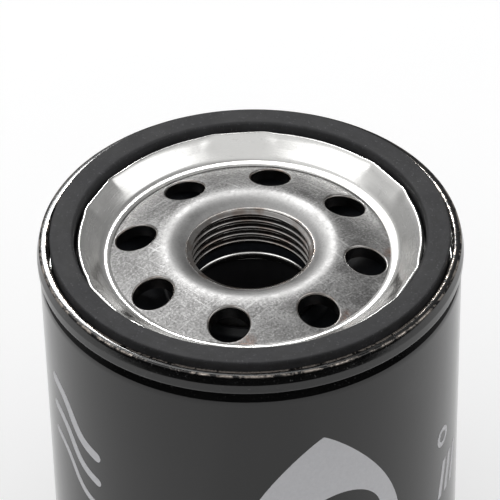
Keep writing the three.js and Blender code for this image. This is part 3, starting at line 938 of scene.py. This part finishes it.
def potting(name, node, low):
    def settled(r, z, angle):
        pooled = 0.12 * (1 + np.cos(angle * PLEATS)) / 2 * smoothstep(low, low + ADHESIVE, z)
        return r, z - pooled * smoothstep(TUBE_R, TUBE_R + 2, r)

    r0, r1 = TUBE_R + FIT + 0.02, POTTING_R
    outline = rounded([
        (20, low), (r1, low, 0.2), (r1, low + ADHESIVE, 0.3), (r0, low + ADHESIVE, 0.3),
        (r0, low, 0.2), (19, low),
    ], 3)
    make(name, lathe(subdivided(outline, 1.5), 8 * PLEATS, settled), PLASTISOL, "element", node)


def pleated_strip():
    pitch = 360 / PLEATS
    outer_r = MEDIA_R - PAPER / 2
    inner_r = MEDIA_INNER_R + PAPER / 2

    def flat(radius, degrees, width):
        half = math.degrees(width / 2 / radius)
        return [(*polar(radius, angle), 0.28) for angle in (degrees - half, degrees + half)]

    ends = flat(outer_r, 0, 2 * PAPER)
    line = [ends[1]]
    for i in range(PLEATS):
        line += flat(inner_r, (i + 0.5) * pitch, 1.4 * PAPER)
        if i < PLEATS - 1:
            line += flat(outer_r, (i + 1) * pitch, 3 * PAPER)
    line.append(ends[0])
    strip = prism(sheet(rounded(line, 3), PAPER, 2), MEDIA_LOW, MEDIA_HIGH)
    make("pleated_media", strip, PAPER_LOOK, "element", "filter_media")


def seam_clip():
    half = 1.15
    outer = MEDIA_R + 0.3
    line = rounded([
        (MEDIA_R - 3.3, half), (outer, half, 0.4), (outer, -half, 0.4), (MEDIA_R - 3.3, -half),
    ], 5)
    clip = prism(sheet(line, 0.3, 2), MEDIA_LOW, MEDIA_HIGH)
    make("media_clip", clip, TIN, "element", "media_seam_clip")


def centre_tube():
    """A tube of six columns of round holes: panels of a grid wrapped round the axis."""
    columns, rows, hole_r, hole_rings, edge_steps = 6, 5, 1.7, 6, 6
    low = CAP_TOP + FIT
    high = below(ELEMENT_TOP + CAP_SHEET + FIT)
    width = 2 * math.pi * TUBE_R / columns
    height = (high - low) / (rows + 0.75)
    walls = (TUBE_R, TUBE_R - TUBE_WALL)
    parts = []

    def wrapped(points, radius):
        return [(*polar(radius, math.degrees(x / TUBE_R)), z) for x, z in points]

    def panel(x0, z0, z1, pierced):
        corners = [(x0, z0), (x0 + width, z0), (x0 + width, z1), (x0, z1)]
        edge = np.array(stepped(corners, [edge_steps] * 4))
        middle = np.array([x0 + width / 2, (z0 + z1) / 2])
        out = edge - middle
        reach = np.linalg.norm(out, axis=1)[:, None]
        rim = middle + out * (hole_r / reach if pierced else 0.5)
        steps = hole_rings if pierced else 1
        for radius in walls:
            rings = [edge + (rim - edge) * step / steps for step in range(steps + 1)]
            parts.append(skin([wrapped(ring, radius) for ring in rings]))
        if pierced:
            parts.append(skin([wrapped(rim, radius) for radius in walls]))
            return
        count = len(rim)
        for radius in walls:
            fan = [(k, (k + 1) % count, count) for k in range(count)]
            parts.append((wrapped([*rim, middle], radius), fan))

    first = low + height * 0.375
    for column in range(columns):
        x0 = (column - 0.5) * width
        panel(x0, low, first, False)
        for row in range(rows):
            panel(x0, first + row * height, first + (row + 1) * height, True)
        panel(x0, first + rows * height, high, False)
    for z in (low, high):
        ring = [((k / edge_steps - 0.5) * width, z) for k in range(columns * edge_steps)]
        parts.append(skin([wrapped(ring, radius) for radius in walls]))
    # The tube's near-black colour is painted shade for the inside of the bore.
    make("perforated_tube", joined(*parts), TUBE_PAINTED_SHADE, "element", "centre_tube")


# ---- Bypass valve ----

SEAT_TOP = CAP_TOP + 1.6
SEAL_TOP = SEAT_TOP + FIT + SEAL_THICKNESS
DISC_TOP = SEAL_TOP + FIT + CAP_SHEET
CAGE_TOP = CAP_TOP + CAGE_HEIGHT


def bypass_seat():
    low = CAP_TOP + FIT
    outline = rounded([
        (8, low), (FLANGE_R, low, 0.15), (FLANGE_R, low + SEAT_FLANGE, 0.15),
        (SEAT_R + 1.6, low + SEAT_FLANGE, 0.2),
        (SEAT_R + 0.9, SEAT_TOP, 0.25), (SEAT_R + 0.1, SEAT_TOP, 0.3), (SEAT_R, low, 0.1), (7.9, low),
    ], 4)
    make("valve_seat", lathe(outline, VALVE_SIDES), STEEL, "element", "bypass_seat")


def bypass_seal():
    low = SEAT_TOP + FIT
    outline = rounded([
        (5, low), (VALVE_R, low, 0.2), (VALVE_R, SEAL_TOP, 0.2), (STEM_R + FIT, SEAL_TOP, 0.1),
        (STEM_R + FIT, low, 0.1), (4.9, low),
    ], 3)
    make("valve_washer", lathe(outline, VALVE_SIDES), VALVE_RUBBER, "bypass_valve", "bypass_seal")


def bypass_disc():
    middle = DISC_TOP - CAP_SHEET / 2
    line = rounded([
        (STEM_R + FIT + 0.2, middle), (VALVE_R + 0.35, middle, 0.5), (VALVE_R + 0.35, DISC_TOP - 1.3),
    ], 6)
    make("valve_cup", lathe(sheet(line, CAP_SHEET), VALVE_SIDES), TIN, "bypass_valve", "bypass_disc")


def bypass_stem():
    line = rounded([
        (AXIS_R, SEAT_TOP - 0.85), (2.6, SEAT_TOP - 0.7, 0.3), (2.9, SEAT_TOP, 0.2),
        (STEM_R, SEAT_TOP, 0.1), (STEM_R, DISC_TOP + FIT, 0.1), (2.5, DISC_TOP + FIT, 0.2),
        (2.5, DISC_TOP + 0.9, 0.3), (STEM_R, DISC_TOP + 1.3, 0.3), (STEM_R, CAGE_TOP + 1.5, 0.5),
        (AXIS_R, CAGE_TOP + 2),
    ], 4)
    sides = VALVE_SIDES // 2
    vertices, faces = lathe(line, sides, closed=False)
    last = len(vertices) - sides
    faces += [tuple(reversed(range(sides))), tuple(last + k for k in range(sides))]
    make("valve_stem", (vertices, faces), STEEL, "bypass_valve", "bypass_stem")


def bypass_cage():
    """A ring with three arms that bend down into legs."""
    top = lathe(rounded([
        (5, CAGE_TOP - CAGE_SHEET), (7.6, CAGE_TOP - CAGE_SHEET, 0.15), (7.6, CAGE_TOP, 0.2),
        (STEM_R + 0.35, CAGE_TOP, 0.2), (STEM_R + 0.35, CAGE_TOP - CAGE_SHEET, 0.15),
        (4.9, CAGE_TOP - CAGE_SHEET),
    ], 3), 96)
    foot = CAP_TOP + SEAT_FLANGE + 2 * FIT
    leg_r = CAGE_R - 0.6
    profile = sheet(rounded([
        (7.2, CAGE_TOP - CAGE_SHEET / 2), (leg_r, CAGE_TOP - CAGE_SHEET / 2, 0.9), (leg_r, foot + 0.4),
    ], 6), CAGE_SHEET, 3)
    count = len(profile)
    vertices, faces = skin([[(r, side, z) for r, z in profile] for side in (-LEG_HALF, LEG_HALF)])
    faces += [tuple(range(count)), tuple(reversed(range(count, 2 * count)))]
    legs = [turned_about_z((vertices, faces), degrees) for degrees in (0, 120, 240)]
    make("valve_cage", joined(top, *legs), TIN, "element", "bypass_cage")


def coil(name, node, body, radius, wire_r, turns, low, high):
    """A coil spring whose end turns close up and lie flat."""
    steps = int(turns * 48)
    share = np.linspace(0, 1, steps + 1)
    angle = share * turns * 2 * math.pi
    rise = smoothstep(0, 0.12, share) * 0.06 + share * 0.88 + smoothstep(0.88, 1, share) * 0.06
    height = low + wire_r + (high - low - 2 * wire_r) * rise
    path = np.stack([radius * np.cos(angle), radius * np.sin(angle), height], 1)
    section = [(wire_r * math.cos(t), wire_r * math.sin(t))
               for t in np.linspace(0, 2 * math.pi, 15)[:-1]]
    spring = make(name, swept(path, section), WIRE, body, node)
    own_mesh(spring)


def springs():
    low, high = DISC_TOP + FIT, CAGE_TOP - CAGE_SHEET - FIT
    coil("valve_spring", "bypass_spring", "element", VALVE_SPRING_R, VALVE_WIRE_R, VALVE_TURNS,
         low, high)
    low, high = SHEET + FIT, ELEMENT_BOTTOM - FIT
    coil("support_spring", "dome_spring", "housing", DOME_SPRING_R, DOME_WIRE_R, DOME_TURNS,
         low, high)


# ---- Printed marks: plain shapes in one ink, a little proud of the paint ----

INK_THICKNESS = 0.03
INK_SUNK = 0.005          # how far its back lies in the paint
INK_GRID = 0.8            # longest edge, so that it follows the wall


def printed(name, outlines, degrees, depth):
    """Filled outlines in (across, up) millimetres, wrapped onto the can round a place on it. An outline
    inside another is a hole in it."""
    mesh = bpy.data.meshes.new(name)
    bm = bmesh.new()
    edges = []
    for outline in outlines:
        corners = [bm.verts.new((x, z, 0)) for x, z in outline]
        edges += [bm.edges.new((a, b)) for a, b in zip(corners, corners[1:] + corners[:1])]
    bmesh.ops.triangle_fill(bm, edges=edges, normal=(0, 0, 1))
    for axis, normal in enumerate((Vector((1, 0, 0)), Vector((0, 1, 0)))):
        values = [point[axis] for outline in outlines for point in outline]
        for place in np.arange(min(values) + INK_GRID, max(values), INK_GRID):
            bmesh.ops.bisect_plane(bm, geom=[*bm.verts, *bm.edges, *bm.faces],
                                   plane_co=normal * place, plane_no=normal)
    made = bmesh.ops.extrude_face_region(bm, geom=list(bm.faces))
    for element in made["geom"]:
        if isinstance(element, bmesh.types.BMVert):
            element.co.z = INK_THICKNESS
    bmesh.ops.recalc_face_normals(bm, faces=bm.faces)
    for vertex in bm.verts:
        across, up, out = vertex.co
        angle = degrees + math.degrees(across / BODY_R)
        vertex.co = Vector((*polar(BODY_R - INK_SUNK + out, angle), below(depth) + up)) * MM
    bm.to_mesh(mesh)
    bm.free()
    mesh.materials.append(INK)
    piece = placed(name, mesh)
    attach(piece, "housing")


def drop_outline(width, height):
    """A drop of oil: a round bottom that draws up to a point."""
    points = []
    for t in np.linspace(0, 2 * math.pi, 73)[:-1]:
        x = width / 2 * math.sin(t) * math.sin(t / 2) ** 0.7
        points.append((x, height / 2 * math.cos(t)))
    return points


def crescent(radius, width, start, end, lift):
    """A curved highlight that thins out towards both ends."""
    turns = np.radians(np.linspace(start, end, 25))
    bulge = width / 2 * np.sin(np.linspace(0, math.pi, 25))
    outer = [(radius + b, t) for t, b in zip(turns, bulge)]
    inner = [(radius - b, t) for t, b in zip(turns[1:-1], bulge[1:-1])]
    return [(r * math.cos(t), r * math.sin(t) + lift) for r, t in [*outer, *reversed(inner)]]


def wave(start, end, width, swing):
    """A stroke that winds once about the line between two points."""
    start, end = np.array(start, float), np.array(end, float)
    along = end - start
    aside = np.array([-along[1], along[0]]) / np.linalg.norm(along)
    line = [start + along * t + aside * swing * math.sin(2 * math.pi * t) for t in np.linspace(0, 1, 17)]
    return sheet(line, width, 5)


def circle(radius):
    return arc(0, 0, radius, 0, 360, 36)[:-1]


def marks():
    """An oil drop in front, three waves to its left, and a ring over three bars to its right."""
    printed("print_drop", [drop_outline(38, 42), crescent(11, 4.5, 5, 95, -5)], -75, 38)
    waves = [wave((-7, 8 - 6 * k), (6.5, -0.5 - 6 * k), 2.2 - 0.4 * k, 0.9) for k in range(3)]
    printed("print_waves", waves, -152, 29.5)
    printed("print_ring", [circle(2.1), circle(1.15)], -29.5, 34.6)
    bars = [[(x, -4), (x + 1.4, -4), (x + 3.4, 4), (x + 2, 4)] for x in (-2.5, 0.2, 2.9)]
    printed("print_bars", bars, -28, 45)


# ---- Stage: sizes in metres ----

FLOOR_R = 0.29
FLOOR_SIDES = 128
FLOOR_GLOW = 0.27
WORLD_FRONT = 0.03        # strength near the horizon, in front and behind
WORLD_BACK = 0.36
WORLD_HIGH = 0.72
WORLD_SHADE = (0.43, 0.51, 0.74)   # towards the darkest part
WORLD_SHADED = 0.35
BACKDROP = 0.95           # what the camera sees beyond the floor
LIGHT_DISTANCE = 1.2
SOFTBOXES = {             # azimuth and elevation in degrees, size, radiance
    "back_left": (112, 48, (0.62, 0.62), 1.1),
    "rim": (94.5, 40, (0.17, 0.06), 45),
    "top": (102, 54, (0.5, 0.25), 3.0),
    "front_left": (-146, 42, (1.15, 0.5), 1.15),
    "right": (-20, 40, (1.25, 0.55), 1.0),
}


def plain_floor():
    look = Look("floor_white", (0.86, 0.86, 0.86), 0, 0.9, 0.2)
    look.set("Emission Color", (1, 1, 1, 1))
    look.set("Emission Strength", FLOOR_GLOW)
    look.link(look.mixed(look.noise(4, 2), (0.85, 0.85, 0.852), (0.875, 0.875, 0.877)), "Base Color")
    mesh = bpy.data.meshes.new("floor")
    edge = [(*polar(FLOOR_R, 360 * k / FLOOR_SIDES), 0) for k in range(FLOOR_SIDES)]
    mesh.from_pydata(edge, [], [tuple(range(FLOOR_SIDES))])
    mesh.materials.append(look.material)
    placed("floor", mesh)


def softbox(name, azimuth, elevation, size, radiance):
    """A rectangular light that faces the filter, with directions counted from the photographed view."""
    turn, rise = math.radians(azimuth + VIEW_TURN), math.radians(elevation)
    place = Vector((math.cos(turn) * math.cos(rise), math.sin(turn) * math.cos(rise), math.sin(rise)))
    data = bpy.data.lights.new(name, "AREA")
    data.shape = "RECTANGLE"
    data.size, data.size_y = size
    data.energy = radiance * math.pi * size[0] * size[1]
    light = placed(name, data)
    light.location = place * LIGHT_DISTANCE + Vector((0, 0, HEIGHT * MM))
    light.rotation_euler = place.to_track_quat("Z", "Y").to_euler()
    light.visible_camera = False


def studio():
    """Pale surroundings that are dark near the horizon, most of all in front, and behind to the right."""
    world = bpy.data.worlds.new("studio")
    world.use_nodes = True
    sky = Nodes(world.node_tree, "Background", "Generated")
    _, back, height = sky.axes()
    low = sky.between(back, -0.3, 0.5, WORLD_FRONT, WORLD_BACK)
    share = sky.between(height, 0.3, 0.62, 0, 1)
    gain = sky.times(share, sky.math("SUBTRACT", WORLD_HIGH, low))
    toward = sky.node("ShaderNodeVectorMath", operation="DOT_PRODUCT")
    sky.link(sky.position, toward.inputs[0])
    toward.inputs[1].default_value = Vector(WORLD_SHADE).normalized()
    shade = sky.between(toward.outputs["Value"], 0.6, 0.97, 1, WORLD_SHADED)
    strength = sky.times(sky.math("ADD", low, gain), shade)
    camera_ray = sky.node("ShaderNodeLightPath").outputs["Is Camera Ray"]
    sky.link(sky.math("MAXIMUM", strength, sky.times(camera_ray, BACKDROP)), "Strength")
    sky.shader.inputs["Color"].default_value = (1, 1, 1, 1)
    bpy.context.scene.world = world
    view = bpy.context.scene.view_settings
    view.view_transform = "Standard"
    view.look = "None"


can()
lid()
seam_compound()
base_plate()
gasket()
drainback_valve()
end_caps()
potting("upper_potting", "upper_adhesive", MEDIA_HIGH + FIT)
potting("lower_potting", "lower_adhesive", CAP_TOP + FIT)
pleated_strip()
seam_clip()
centre_tube()
bypass_seat()
bypass_seal()
bypass_disc()
bypass_stem()
bypass_cage()
springs()
marks()
plain_floor()
for name, light in SOFTBOXES.items():
    softbox(name, *light)
studio()

bpy.context.view_layer.update()
